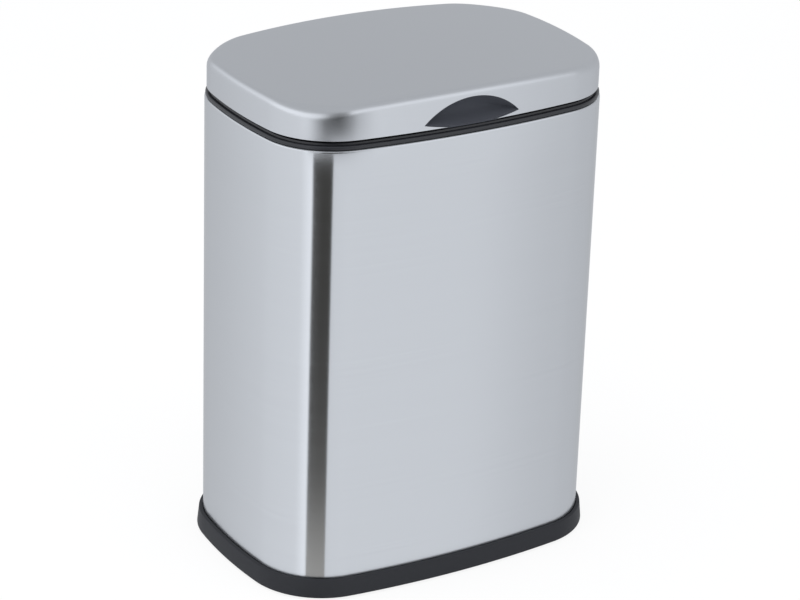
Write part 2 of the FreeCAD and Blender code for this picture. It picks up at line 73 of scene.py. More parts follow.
def plan_places(bay):
    """Arc centre, arc radius and outward direction at each point; a bay draws the rear in."""
    depth = half_depth - bay / 2
    front = Vector((0.0, front_bow - depth))
    side = Vector((half_width - side_bow, 0.0))
    apart = side - front
    front_reach = front_bow - corner_round
    side_reach = side_bow - corner_round
    along = (front_reach**2 - side_reach**2 + apart.length_squared) / (2 * apart.length)
    across = math.sqrt(front_reach**2 - along**2)
    aim = apart.normalized()
    corner = front + aim * along + Vector((-aim.y, aim.x)) * across
    front_turn = math.atan2(corner.x - front.x, front.y - corner.y)
    side_turn = math.atan2(corner.x - side.x, side.y - corner.y)
    turns = [-front_turn, front_turn, side_turn, math.pi - side_turn, math.pi - front_turn]
    turns += [turn + math.pi for turn in turns[1:]]
    arcs = [(front, front_bow, front_steps), (corner, corner_round, corner_steps)]
    arcs += [(side, side_bow, side_steps), (corner, corner_round, corner_steps)]
    places = []
    for (centre, radius, steps), start, end in zip(arcs * 2, turns, turns[1:]):
        middle = (start + end) / 2
        mirror_x = 1 if math.sin(middle) >= 0 else -1
        mirror_y = 1 if math.cos(middle) > 0 else -1
        placed = Vector((centre.x * mirror_x, centre.y * mirror_y - bay / 2))
        for step in range(steps):
            turn = start + (end - start) * step / steps
            places.append((placed, radius, Vector((math.sin(turn), -math.cos(turn)))))
    return places


plain_plan = plan_places(0.0)
bay_plan = plan_places(hinge_bay)
print("points round the plan:", len(plain_plan))

# %% [markdown]
# ## Loops and sections
# A real maker rolls, presses, moulds or turns these pieces, and all of that can be drawn as loops of
# points: a ring of the plan, a level circle or a circle round the hinge's axis. A section is a short list
# of corners, each with its own round. Rounding the section before it is carried along keeps every edge
# round even.

# %% Loops and sections


def ring(inset, z, plan):
    """The plan at an inset and a height."""
    return [(centre + way * (radius - inset)).to_3d() + Vector((0, 0, z)) for centre, radius, way in plan]


def all_round(count):
    """Angles all round a circle."""
    return [2 * math.pi * step / count for step in range(count)]


def disc(x, y, z, radius, count=48):
    """A level circle."""
    turns = all_round(count)
    return [Vector((x + radius * math.cos(turn), y + radius * math.sin(turn), z)) for turn in turns]


def hoop(x, y, z, radius, count=40):
    """An upright circle that faces along the width."""
    turns = all_round(count)
    return [Vector((x, y + radius * math.cos(turn), z + radius * math.sin(turn))) for turn in turns]


def middle_of(loop):
    """A loop drawn together to its middle."""
    return [sum(loop, Vector()) / len(loop)] * len(loop)


def rounded(corners, closed=False, steps=5):
    """Section points from corners (across, up, radius); other values of a corner go with its points."""
    points = []
    for number, (across, up, radius, *rest) in enumerate(corners):
        here = Vector((across, up))
        inside = closed or 0 < number < len(corners) - 1
        if not radius or not inside:
            points.append((across, up, *rest))
            continue
        before = (Vector(corners[number - 1][:2]) - here).normalized()
        after = (Vector(corners[(number + 1) % len(corners)][:2]) - here).normalized()
        half = before.angle(after) / 2
        middle = here + (before + after).normalized() * (radius / math.sin(half))
        first = (here + before * (radius / math.tan(half)) - middle).normalized()
        last = (here + after * (radius / math.tan(half)) - middle).normalized()
        for step in range(steps + 1):
            point = middle + first.slerp(last, step / steps) * radius
            points.append((point.x, point.y, *rest))
    return points


body_ring = ring(0.0, 0.0, plain_plan)
way_round = sum((spot - body_ring[number - 1]).length for number, spot in enumerate(body_ring))
print("way round the body, metres:", round(way_round, 3))

# %% [markdown]
# ## Skins
# A skin is modelled as by hand: a circle of edges is added and extruded from loop to loop. Each vertex
# keeps its number in the circle as an attribute, so after an extrusion it goes to its own point of the next
# loop. Points that meet are merged, which closes poles and seams. Spinning a profile would only do for
# round pieces.

# %% Skins
merge_distance = 1e-6


def skin(name, loops, closed=False):
    """One skin drawn through loops of points; points that meet are merged."""
    bpy.ops.object.select_all(action="DESELECT")
    bpy.ops.mesh.primitive_circle_add(vertices=len(loops[0]))
    piece = bpy.context.object
    piece.name = piece.data.name = name
    order = piece.data.attributes.new("order", "INT", "POINT")
    order.data.foreach_set("value", list(range(len(loops[0]))))
    bpy.ops.object.mode_set(mode="EDIT")
    for number, points in enumerate(loops + loops[:1] if closed else loops):
        if number:
            bpy.ops.mesh.extrude_region()
        mesh = bmesh.from_edit_mesh(piece.data)
        rank = mesh.verts.layers.int["order"]
        for vertex in mesh.verts:
            if vertex.select:
                vertex.co = points[vertex[rank]]
    bpy.ops.mesh.select_all(action="SELECT")
    bpy.ops.mesh.remove_doubles(threshold=merge_distance)
    bpy.ops.mesh.normals_make_consistent(inside=False)
    bpy.ops.object.mode_set(mode="OBJECT")
    piece.data.attributes.remove(piece.data.attributes["order"])
    return piece


def swept(name, corners, closed=False):
    """A section carried round the plan; a corner may name the bay plan."""
    loops = []
    for inset, z, *plan in rounded(corners, closed):
        loops.append(ring(inset, z, plan[0] if plan else plain_plan))
    return skin(name, loops, closed)


def filled(name, corners, plan, steps=5):
    """A section carried round the plan and closed over the middle at both ends."""
    loops = [ring(inset, z, plan) for inset, z in rounded(corners, steps=steps)]
    middle = sum((spot.y for spot in loops[0]), 0.0) / len(plan)
    ends = [[Vector((0.0, middle, corner[1]))] * len(plan) for corner in (corners[0], corners[-1])]
    return skin(name, [ends[0], *loops, ends[1]])


def turned(name, x, y, corners, count=48):
    """A section of (radius, height) corners turned about an upright line."""
    return skin(name, [disc(x, y, z, radius, count) for radius, z in rounded(corners)])


def peg(name, x, y, radius, low, high):
    """A plain upright cylinder."""
    return turned(name, x, y, [(0.0, low, 0.0), (radius, low, 0.0), (radius, high, 0.0), (0.0, high, 0.0)])


def capped(name, loops):
    """A bar drawn through loops and closed at both ends."""
    return skin(name, [middle_of(loops[0]), *loops, middle_of(loops[-1])])


print("points closer than", merge_distance, "metres are merged")

# %% [markdown]
# ## Blocks, cuts and seats
# Ribs, hooks and notches are blocks that are joined to a skin or cut out of it by a Boolean modifier, which
# is applied at once. Cutting by hand would need every crossing edge to be found first. A finished piece is
# shaded smooth up to an angle, gets its finish, and then takes the place of its CAD node in the frame.

# %% Blocks, cuts and seats


def block(name, low, high, edge=0.0):
    """A box between two corners, with its edges rounded."""
    bpy.ops.object.select_all(action="DESELECT")
    bpy.ops.mesh.primitive_cube_add(size=1.0)
    piece = bpy.context.object
    piece.name = piece.data.name = name
    low, high = Vector(low), Vector(high)
    bpy.ops.object.mode_set(mode="EDIT")
    bpy.ops.transform.resize(value=high - low)
    bpy.ops.transform.translate(value=(low + high) / 2)
    if edge:
        bpy.ops.mesh.bevel(offset=edge, segments=3, affect="EDGES")
    bpy.ops.object.mode_set(mode="OBJECT")
    return piece


def combine(piece, tool, operation):
    """Joins a tool to a piece or cuts it away."""
    bpy.ops.object.select_all(action="DESELECT")
    bpy.context.view_layer.objects.active = piece
    piece.select_set(True)
    change = piece.modifiers.new("combine", "BOOLEAN")
    change.operation = operation
    change.solver = "EXACT"
    change.object = tool
    bpy.ops.object.modifier_apply(modifier=change.name)
    bpy.data.objects.remove(tool, do_unlink=True)


body_of = {node: body for body, nodes in record["behaviour"]["bodies"].items() for node in nodes}


def seat(piece, node, finish, angle=30):
    """Shades a piece, gives it its finish and puts it in the place of a CAD node."""
    bpy.ops.object.select_all(action="DESELECT")
    bpy.context.view_layer.objects.active = piece
    piece.select_set(True)
    bpy.ops.object.shade_smooth_by_angle(angle=math.radians(angle))
    piece.data.materials.clear()
    piece.data.materials.append(finish)
    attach(piece, body_of[node])
    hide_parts(node)
    print(piece.name, "in place of", node, "with", len(piece.data.polygons), "faces")


def round_place(node):
    """Middle, radius, bottom and top of an upright round CAD node."""
    low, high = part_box(node)
    return (low.x + high.x) / 2, (low.y + high.y) / 2, (high.x - low.x) / 2, low.z, high.z


print("bodies:", sorted(set(body_of.values())))

# %% [markdown]
# ## Brushed steel
# Body and lid are satin steel. On the real bin fine lines run round the body and from side to side over the
# lid. Brushing blurs reflections across the lines and keeps them sharp along them. Bump lines would need to
# be far finer than a pixel, so the shader's anisotropy does this work: its tangent comes from the object's
# own axes, and a stretched noise only varies tone and roughness a little.

# %% Steel


def shader(tree, kind, links=(), **settings):
    """A shader node with its settings, and its inputs linked or set."""
    node = tree.nodes.new("ShaderNode" + kind)
    for key, value in settings.items():
        setattr(node, key, value)
    for socket, value in links:
        if isinstance(value, bpy.types.NodeSocket):
            tree.links.new(value, node.inputs[socket])
        else:
            node.inputs[socket].default_value = value
    return node


def new_finish(name):
    """An empty finish with its node tree and main shader."""
    finish = bpy.data.materials.new(name)
    finish.use_nodes = True
    return finish, finish.node_tree, finish.node_tree.nodes["Principled BSDF"]


def varied(tree, noise, middle, spread):
    """A value that a noise varies about its middle."""
    return shader(tree, "MapRange", [("Value", noise), (3, middle - spread), (4, middle + spread)]).outputs[0]


line_spread = 0.03


def brushed_steel(name, colour, roughness, stretch, uneven):
    """Brushed steel whose lines follow the stretch of a noise."""
    finish, tree, main = new_finish(name)
    place = shader(tree, "TexCoord")
    drawn = shader(tree, "Mapping", [("Vector", place.outputs["Object"]), ("Scale", stretch)])
    noise = [("Vector", drawn.outputs[0]), ("Scale", 1.0), ("Detail", 3.0)]
    lines = shader(tree, "TexNoise", noise).outputs[0]
    tone = varied(tree, lines, 1.0, uneven)
    tint = shader(tree, "VectorMath", [(0, colour), ("Scale", tone)], operation="SCALE")
    main.inputs["Metallic"].default_value = 1.0
    tree.links.new(tint.outputs[0], main.inputs["Base Color"])
    tree.links.new(varied(tree, lines, roughness, line_spread), main.inputs["Roughness"])
    return finish, tree, main, place


def set_tangent(tree, main, along):
    """Gives the brushing its direction, turned with the object."""
    turned_along = shader(tree, "VectorTransform", [("Vector", along)], vector_type="VECTOR",
                          convert_from="OBJECT", convert_to="WORLD")
    tree.links.new(turned_along.outputs[0], main.inputs["Tangent"])


steel_colour = (0.60, 0.615, 0.635)
body_steel, tree, main, place = brushed_steel("body steel", steel_colour, 0.19, (5.0, 5.0, 1500.0), 0.025)
main.inputs["Anisotropic"].default_value = 0.95
set_tangent(tree, main, (0.0, 0.0, 1.0))

# %% [markdown]
# The lid was brushed flat and then pressed, so its lines bend down with the skirt. The direction across the
# lines starts as the Y axis on the dome and is folded over the edge by the same turn that takes the upright
# to the surface's normal. A small guard keeps the fold finite where a face looks straight down. A tangent
# from a UV map would show a seam at the corners.

# %% Steel of the lid
fold_guard = 1.05

lid_steel, tree, main, place = brushed_steel("lid steel", steel_colour, 0.31, (5.0, 1500.0, 1500.0), 0.02)
main.inputs["Anisotropic"].default_value = 0.60
normal = place.outputs["Normal"]
facing = shader(tree, "SeparateXYZ", [(0, normal)])
down = shader(tree, "Math", [(0, facing.outputs["Z"]), (1, fold_guard)], operation="ADD")
fold = shader(tree, "Math", [(0, facing.outputs["Y"]), (1, down.outputs[0])], operation="DIVIDE")
lean = shader(tree, "VectorMath", [(0, normal), (1, (0.0, 0.0, 1.0))], operation="ADD")
drop = shader(tree, "VectorMath", [(0, lean.outputs[0]), ("Scale", fold.outputs[0])], operation="SCALE")
over = shader(tree, "VectorMath", [(0, (0.0, 1.0, 0.0)), (1, drop.outputs[0])], operation="SUBTRACT")
set_tangent(tree, main, over.outputs[0])
print("steel finishes:", body_steel.name, lid_steel.name)

# %% [markdown]
# ## Plastics, plating and rubber
# Base, collar, liner and hinge are black mouldings, the bucket is a dark polypropylene, pads and bumpers
# are rubber, and the small steel pieces are zinc plated. A fine noise gives the moulded grain as a bump and
# clouds the roughness. Displacing the mesh would cost many faces for a grain that only shows close up.

# %% Plastics, plating and rubber
cloudy = 0.05


def moulded(name, colour, roughness, shine, grain_scale, grain_depth):
    """A moulded plastic or rubber with a fine grain."""
    finish, tree, main = new_finish(name)
    place = shader(tree, "TexCoord").outputs["Object"]
    grain = shader(tree, "TexNoise", [("Vector", place), ("Scale", grain_scale), ("Detail", 2.0)]).outputs[0]
    bump = shader(tree, "Bump", [("Height", grain), ("Strength", 0.5), ("Distance", grain_depth)])
    main.inputs["Base Color"].default_value = (*colour, 1.0)
    main.inputs["Specular IOR Level"].default_value = shine
    tree.links.new(varied(tree, grain, roughness, cloudy), main.inputs["Roughness"])
    tree.links.new(bump.outputs[0], main.inputs["Normal"])
    return finish


def plated(name, colour, roughness):
    """Bright zinc plate with slight clouding."""
    finish, tree, main = new_finish(name)
    place = shader(tree, "TexCoord").outputs["Object"]
    cloud = shader(tree, "TexNoise", [("Vector", place), ("Scale", 400.0), ("Detail", 2.0)]).outputs[0]
    main.inputs["Base Color"].default_value = (*colour, 1.0)
    main.inputs["Metallic"].default_value = 1.0
    tree.links.new(varied(tree, cloud, roughness, cloudy), main.inputs["Roughness"])
    return finish


black_plastic = moulded("black plastic", (0.030, 0.031, 0.035), 0.50, 0.15, 2600.0, 0.00002)
collar_plastic = moulded("collar plastic", (0.022, 0.023, 0.027), 0.30, 0.45, 2600.0, 0.00001)
grip_plastic = moulded("grip plastic", (0.068, 0.072, 0.085), 0.60, 0.12, 3000.0, 0.00001)
bucket_plastic = moulded("bucket plastic", (0.055, 0.057, 0.062), 0.38, 0.45, 1800.0, 0.00001)
black_rubber = moulded("black rubber", (0.018, 0.018, 0.018), 0.70, 0.30, 2000.0, 0.00003)
zinc_plate = plated("zinc plate", (0.66, 0.67, 0.69), 0.22)
print("other finishes:", black_plastic.name, grip_plastic.name, bucket_plastic.name, zinc_plate.name)

# %% [markdown]
# ## The steel body
# On the real bin this is one steel sheet, rolled to the plan and closed by a seam at the back. Its top edge
# curls inwards over the collar's neck. A box with a Solidify modifier would do, but a section carried round
# the plan gives the curl its true round, and that round catches the bright line at the top of the body. The
# seam is a shallow groove, cut by a thin block.

# %% Body
shell_low, shell_high = (corner.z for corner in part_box("body_shell"))
sheet = 0.0005
curl_round = 0.0012
curl_width = 0.002
wall_levels = 10
seam_half, seam_depth, seam_stop = 0.00025, 0.0002, 0.002
wall_high = shell_high - curl_round
levels = [shell_low + (wall_high - shell_low) * step / wall_levels for step in range(wall_levels + 1)]
section = [(0.0, z, 0.0) for z in levels]
section += [(0.0, shell_high, curl_round), (curl_width, shell_high, 0.0)]
section += [(curl_width, shell_high - sheet, 0.0), (sheet, shell_high - sheet, curl_round - sheet)]
section += [(sheet, shell_low, 0.0)]
steel_body = swept("steel_body", section, closed=True)
combine(steel_body, block("seam_cut", (-seam_half, half_depth - seam_depth, shell_low - 0.001),
                          (seam_half, half_depth + 0.001, shell_high - seam_stop)), "DIFFERENCE")
seat(steel_body, "body_shell", body_steel)

# %% [markdown]
# ## The base
# The base is one black moulding. Its flared ring stands proud of the body, the body stands in a slot behind
# a low lip, and ribs under the floor carry the load to four foot pads. A section carried round the plan
# makes ring, slot and floor in one go. Ribs and pad sockets are then joined on, as they would be cut into a
# mould.

# %% Base
base_low, base_high = (corner.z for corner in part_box("base_tray"))
flare, shoulder = 0.0033, 0.0022
slot_outer, slot_inner, wall_inner, lip_drop = -0.0002, 0.0007, 0.0030, 0.0010
floor_low, floor_high, deep = 0.0035, 0.0060, 0.030
section = [(deep, floor_high, 0.0), (wall_inner, floor_high, 0.0006)]
section += [(wall_inner, base_high - lip_drop, 0.0003), (slot_inner, base_high - lip_drop, 0.0003)]
section += [(slot_inner, shell_low, 0.0), (slot_outer, shell_low, 0.0), (slot_outer, base_high, 0.0003)]
section += [(-shoulder, base_high, 0.0006), (-flare, base_low, 0.0008), (wall_inner, base_low, 0.0003)]
section += [(wall_inner, floor_low, 0.0), (deep, floor_low, 0.0)]
base_moulding = filled("base_moulding", section, plain_plan)

rib_low, rib_half, bite = 0.0013, 0.0008, 0.0005
rib_high = floor_low + bite
for x, reach in ((0.0, 0.0660), (-0.045, 0.0640), (0.045, 0.0640)):
    rib = block("rib", (x - rib_half, -reach, rib_low), (x + rib_half, reach, rib_high))
    combine(base_moulding, rib, "UNION")
long_reach = 0.0975
rib = block("rib", (-long_reach, -rib_half, rib_low), (long_reach, rib_half, rib_high))
combine(base_moulding, rib, "UNION")

pads = ("foot_pad_front_left", "foot_pad_front_right", "foot_pad_rear_left", "foot_pad_rear_right")
socket_wall = 0.0018
for node in pads:
    x, y, radius, low, high = round_place(node)
    wall = radius + socket_wall
    section = [(0.0, rib_high, 0.0), (wall, rib_high, 0.0), (wall, rib_low, 0.0003)]
    section += [(radius, rib_low, 0.0003), (radius, high, 0.0), (0.0, high, 0.0)]
    combine(base_moulding, turned("socket", x, y, section), "UNION")
seat(base_moulding, "base_tray", black_plastic)

# %% [markdown]
# ## Foot pads
# Four rubber discs are pressed into the sockets of the base and stand just proud of it, so that the bin
# does not slide. A cylinder with a bevel would do, but a turned section gives the round of the lower edge
# directly.

# %% Pads
pad_edge = 0.0006
for node in pads:
    x, y, radius, low, high = round_place(node)
    section = [(0.0, low, 0.0), (radius, low, pad_edge), (radius, high, 0.0), (0.0, high, 0.0)]
    pad = turned(node.replace("foot_pad", "rubber_foot"), x, y, section)
    seat(pad, node, black_rubber)

# %% [markdown]
# ## The collar
# The collar closes the top of the body. A rounded bead shows as the dark line under the lid, with a groove
# above it. Its neck sits under the body's curled edge, its inner ledge carries the bucket, and its rear
# shelf carries the hinge. The section changes from the plain plan to the bay plan at the ledge, which a
# plain sweep along a curve could not do.

# %% Collar
collar_low, collar_high = (corner.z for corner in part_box("top_collar"))
bead_foot, bead_front, bead_back, bead_high = 0.0012, 0.0004, 0.0005, shell_high + 0.0023
groove, rim_outer, rim_inner = 0.0026, 0.0030, 0.0060
ledge_root, ledge_edge, ledge_high, ledge_thick = 0.0064, 0.0104, 0.2400, 0.0025
neck_outer, neck_inner, neck_high, curl_gap = 0.0007, 0.0029, 0.2492, 0.0022
ledge_low = ledge_high - ledge_thick
section = [(bead_foot, shell_high, 0.0), (bead_front, shell_high + 0.0008, 0.0006)]
section += [(bead_back, bead_high, 0.0008), (groove, bead_high, 0.0), (rim_outer, collar_high, 0.0003)]
section += [(rim_inner, collar_high, 0.0006), (ledge_root, ledge_high, 0.0, bay_plan)]
section += [(ledge_edge, ledge_high, 0.0005, bay_plan), (ledge_edge, ledge_low, 0.0003, bay_plan)]
section += [(neck_inner, ledge_low, 0.0), (neck_inner, collar_low, 0.0), (neck_outer, collar_low, 0.0003)]
section += [(neck_outer, neck_high, 0.0), (curl_gap, neck_high, 0.0), (curl_gap, shell_high, 0.0)]
collar_moulding = swept("collar_moulding", section, closed=True)

hinge_y, hinge_z = 0.062, 0.262
shelf_half, shelf_front, shelf_low = 0.0465, 0.0579, 0.2429
shelf_rear = half_depth - rim_outer
shelf = block("shelf", (-shelf_half, shelf_front, shelf_low), (shelf_half, shelf_rear, collar_high))
combine(collar_moulding, shelf, "UNION")
screw_radius, pilot_low, pilot_high = 0.0013, 0.2400, 0.2600
hinge_screw_places = [(-0.0195, hinge_y), (0.0195, hinge_y)]
for x, y in hinge_screw_places:
    combine(collar_moulding, peg("pilot", x, y, screw_radius, pilot_low, pilot_high), "DIFFERENCE")
seat(collar_moulding, "top_collar", collar_plastic)

# %% [markdown]
# ## The lid
# The lid is pressed from one steel sheet: a shallow dome, a round all along the edge that is softer at the
# corners, and a straight skirt. The round meets the dome at a different height at every point of the plan,
# so its arc is worked out for each point. A bevel on a finished solid would leave facets just where the lid
# catches the light.

# %% Lid dome and skirt
lid_low, lid_high = (corner.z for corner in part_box("lid_shell"))
lid_inset, lid_sheet, dome_radius = 0.0011, 0.0006, 1.260
side_round, corner_extra = 0.0042, 0.0028
round_steps, dome_steps = 8, 14


def dome_height(point, thinner):
    """Height of the dome over a point of the plan."""
    radius = dome_radius - thinner
    return lid_high - dome_radius + math.sqrt(radius**2 - point.x**2 - point.y**2)


def lid_loops(inset, thinner):
    """Loops of the lid's outer or inner face, from its skirt to the middle of the dome."""
    arcs = [[] for step in range(round_steps + 1)]
    for centre, radius, way in plain_plan:
        edge_round = side_round + corner_extra * (2 * way.x * way.y) ** 2 - thinner
        wall = centre + way * (radius - inset)
        slope = wall.dot(way) / (dome_radius - thinner)
        lean = math.sqrt(1 + slope**2)
        middle = dome_height(wall, thinner) + slope * edge_round - edge_round * lean
        last = math.pi / 2 - math.atan(slope)
        for step, arc in enumerate(arcs):
            angle = last * step / round_steps
            spot = wall - way * (edge_round * (1 - math.cos(angle)))
            arc.append(Vector((spot.x, spot.y, middle + edge_round * math.sin(angle))))
    dome = []
    for step in range(1, dome_steps):
        share = 1 - (step / dome_steps)
        flat = [Vector((spot.x * share, spot.y * share)) for spot in arcs[-1]]
        dome.append([Vector((spot.x, spot.y, dome_height(spot, thinner))) for spot in flat])
    crown = Vector((0.0, 0.0, dome_height(Vector((0.0, 0.0)), thinner)))
    return arcs + dome + [[crown] * len(plain_plan)]


inner_inset = lid_inset + lid_sheet
hem = 0.0002
hem_section = [(inner_inset, lid_low + hem), (inner_inset - hem, lid_low)]
hem_section += [(lid_inset + hem, lid_low), (lid_inset, lid_low + hem)]
loops = lid_loops(inner_inset, lid_sheet)[::-1]
loops += [ring(inset, z, plain_plan) for inset, z in hem_section]
loops += lid_loops(lid_inset, 0.0)
steel_lid = skin("steel_lid", loops)
print("lid drawn through", len(loops), "loops")

# %% [markdown]
# ## The grip's cut-out and the hinge notch
# The cut-out at the front is a lens, two arcs that meet in points. The notch at the rear lets the skirt
# swing past the hinge. Both are stamped out of the real sheet, so both are cut here by a bar of the same
# outline.

# %% Lens and notch
lens_middle, upper_radius, lower_middle, lower_radius = 0.2303, 0.0395, 0.3726, 0.118
upper_steps, lower_steps = 44, 40


def lens(inset, depth, sill=0.0):
    """The lens drawn in by an inset, at a depth that may follow the bow; a sill lifts its lower arc."""
    over, under = upper_radius - inset, lower_radius - inset
    low_middle = lower_middle + sill
    apart = low_middle - lens_middle
    tip = lens_middle + (over**2 - under**2 + apart**2) / (2 * apart)
    half = math.sqrt(over**2 - (tip - lens_middle) ** 2)
    over_turn = math.atan2(half, tip - lens_middle)
    under_turn = math.atan2(half, low_middle - tip)
    points = []
    for step in range(upper_steps):
        turn = over_turn - 2 * over_turn * step / upper_steps
        points.append((over * math.sin(turn), lens_middle + over * math.cos(turn)))
    for step in range(lower_steps):
        turn = -under_turn + 2 * under_turn * step / lower_steps
        points.append((under * math.sin(turn), low_middle - under * math.cos(turn)))
    return [Vector((x, depth(x) if callable(depth) else depth, z)) for x, z in points]


outside_front, outside_rear, cut_rear = -0.080, 0.080, -0.050
combine(steel_lid, capped("lens_cut", [lens(0.0, outside_front), lens(0.0, cut_rear)]), "DIFFERENCE")
notch_half, notch_high = 0.048, 0.2675
notch = block("notch", (-notch_half, hinge_y, lid_low - 0.005), (notch_half, outside_rear, notch_high))
combine(steel_lid, notch, "DIFFERENCE")
seat(steel_lid, "lid_shell", lid_steel, angle=40)

# %% [markdown]
# ## The finger grip
# A black dish sits behind the cut-out. Its front follows the bow of the skirt and its hollow deepens like a
# shell, so that fingertips find a hold. Loops of the lens, each drawn in a little more and set a little
# deeper, give the hollow. Cutting it with a ball would lose the two sharp tips. Two hooks reach past the
# tips and hold the dish behind the liner's wall.

# %% Grip
skirt_inner = front_bow - inner_inset


def skirt_face(x):
    """Inner face of the lid's skirt at the front."""
    return front_bow - half_depth - math.sqrt(skirt_inner**2 - x**2)


flange, sill, grip_rear, grip_floor = 0.0008, 0.0006, -0.0590, lid_low - 0.0005
dish_depth, dish_reach = 0.0062, 0.0070
dish_insets = (0.0, 0.0004, 0.0009, 0.0015, 0.0021, 0.0028, 0.0036, 0.0044, 0.0052, 0.0060, 0.0066)
outline = [[Vector((spot.x, spot.y, max(spot.z, grip_floor))) for spot in lens(-flange, depth)]
           for depth in (grip_rear, skirt_face)]
loops = [middle_of(outline[0]), *outline]
for inset in dish_insets:
    share = 1 - (1 - inset / dish_reach) ** 2
    dish_floor = (skirt_face(0.0) + dish_depth) * share
    loops.append(lens(inset, lambda x: skirt_face(x) * (1 - share) + dish_floor, sill))
loops.append(middle_of(loops[-1]))
grip_dish = skin("grip_dish", loops)
hook_front, hook_rear, hook_low, hook_high = -0.0634, -0.0620, 0.2573, 0.2608
for start, end in ((-0.0320, -0.0252), (0.0252, 0.0320)):
    combine(grip_dish, block("hook", (start, hook_front, hook_low), (end, hook_rear, hook_high)), "UNION")
seat(grip_dish, "finger_grip", grip_plastic, angle=35)

# %% [markdown]
# ## The liner
# The black liner closes the lid from below. It is a moulded tray turned upside down, stiffened by ribs,
# with bosses for the bumpers and room for the grip and the hinge. A section carried round the plan makes
# the tray with its rounds, which a cube with a Solidify modifier would not give. The ribs are thin blocks
# joined on.

# %% Liner
liner_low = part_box("lid_liner")[0].z
panel_low, panel_high, liner_inset, liner_wall = 0.2660, 0.2680, 0.0018, 0.0020
section = [(deep, panel_low, 0.0), (liner_inset + liner_wall, panel_low, 0.0010)]
section += [(liner_inset + liner_wall, liner_low, 0.0004), (liner_inset, liner_low, 0.0004)]
section += [(liner_inset, panel_high, 0.0022), (deep, panel_high, 0.0)]
lid_lining = filled("lid_lining", section, plain_plan)

rib_drop, rib_inset, rib_rear, outer_rib = panel_low - 0.0025, 0.026, 0.038, 0.072
rib_root = panel_low + bite
for x in (0.0, -0.036, 0.036, -outer_rib, outer_rib):
    reach = half_depth - rib_inset - (0.004 if abs(x) == outer_rib else 0.0)
    rib = block("rib", (x - rib_half, -reach, rib_drop), (x + rib_half, rib_rear, rib_root))
    combine(lid_lining, rib, "UNION")
reach = half_width - rib_inset
combine(lid_lining, block("rib", (-reach, -rib_half, rib_drop), (reach, rib_half, rib_root)), "UNION")

# %% [markdown]
# The bosses hold the stems of the bumpers. A plain cylinder would break through the tray's wall, so each
# boss is first cut back to lie within it. Its number of points is odd, so that none of them meets a point
# of the wall: Booleans dislike points that coincide. The rooms for the grip and the hinge are then cut out
# of all.

# %% Bosses and room for grip and hinge
bumpers = ("lid_bumper_front_left", "lid_bumper_front_right", "lid_bumper_left", "lid_bumper_right")
boss_low, boss_radius, boss_points, stem_radius = liner_low + 0.0001, 0.0034, 47, 0.0010
within_wall, inside_low, inside_high = liner_inset + 0.0005, 0.250, 0.270
for node in bumpers:
    x, y, radius, low, high = round_place(node)
    section = [(0.0, boss_low, 0.0), (boss_radius, boss_low, 0.0003), (boss_radius, rib_root, 0.0)]
    boss = turned("boss", x, y, section + [(0.0, rib_root, 0.0)], boss_points)
    inside = filled("inside", [(within_wall, z, 0.0) for z in (inside_low, inside_high)], plain_plan)
    combine(boss, inside, "INTERSECT")
    combine(lid_lining, boss, "UNION")
    combine(lid_lining, peg("hole", x, y, stem_radius, liner_low - 0.001, high), "DIFFERENCE")
grip_room, room_rear, hinge_front, room_low, room_high = 0.0011, -0.0587, 0.0565, 0.240, 0.280
room = capped("room", [lens(-grip_room, outside_front), lens(-grip_room, room_rear)])
combine(lid_lining, room, "DIFFERENCE")
room = block("room", (-notch_half, hinge_front, room_low), (notch_half, outside_rear, room_high))
combine(lid_lining, room, "DIFFERENCE")
seat(lid_lining, "lid_liner", black_plastic)

# %% [markdown]
# ## Bumpers
# Four rubber bumpers are pressed into the liner's bosses and meet the collar, so the lid shuts quietly.
# Head and stem are one turned section, as the real ones are one moulding.

# %% Rubber bumpers
bumper_edge = 0.0010
for node in bumpers:
    x, y, radius, low, high = round_place(node)
    section = [(0.0, low, 0.0), (radius, low, bumper_edge), (radius, liner_low, 0.0)]
    section += [(stem_radius, liner_low, 0.0), (stem_radius, high, 0.0), (0.0, high, 0.0)]
    bumper = turned(node.replace("lid_bumper", "rubber_bumper"), x, y, section)
    seat(bumper, node, black_rubber)

# %% [markdown]
# ## The hinge
# A block with three knuckles stands on the collar's shelf. A leaf with two knuckles is screwed under the
# liner, and one pin runs through all five. The knuckles are bored tubes, drawn along the pin. The fixed
# ones widen downwards to the foot: their outline is the larger of a circle and an upright stand.

# %% Hinge block
barrel, bore, stand_half, knuckle_edge, knuckle_points = 0.0040, 0.0015, 0.0034, 0.0003, 96
foot_high, hole_low, hole_high = 0.2559, 0.250, 0.258
block_low, block_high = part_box("hinge_block")


def knuckle_outline(x, shrink, stand):
    """Outside of a knuckle; a stand widens it downwards to the foot."""
    points = []
    for turn in all_round(knuckle_points):
        y, z = math.cos(turn), math.sin(turn)
        reach = barrel - shrink
        if stand and z < -0.05:
            to_side = (stand - shrink) / max(abs(y), 1e-6)
            to_foot = (hinge_z - foot_high + bite) / -z
            reach = max(reach, min(to_side, to_foot))
        points.append(Vector((x, hinge_y + y * reach, hinge_z + z * reach)))
    return points


def knuckle(name, start, end, hole, stand=0.0):
    """A bored tube along the pin."""
    places = [(start, knuckle_edge), (start + knuckle_edge, 0.0)]
    places += [(end - knuckle_edge, 0.0), (end, knuckle_edge)]
    loops = [knuckle_outline(x, shrink, stand) for x, shrink in places]
    loops += [hoop(x, hinge_y, hinge_z, hole, knuckle_points) for x in (end, start)]
    return skin(name, loops, closed=True)


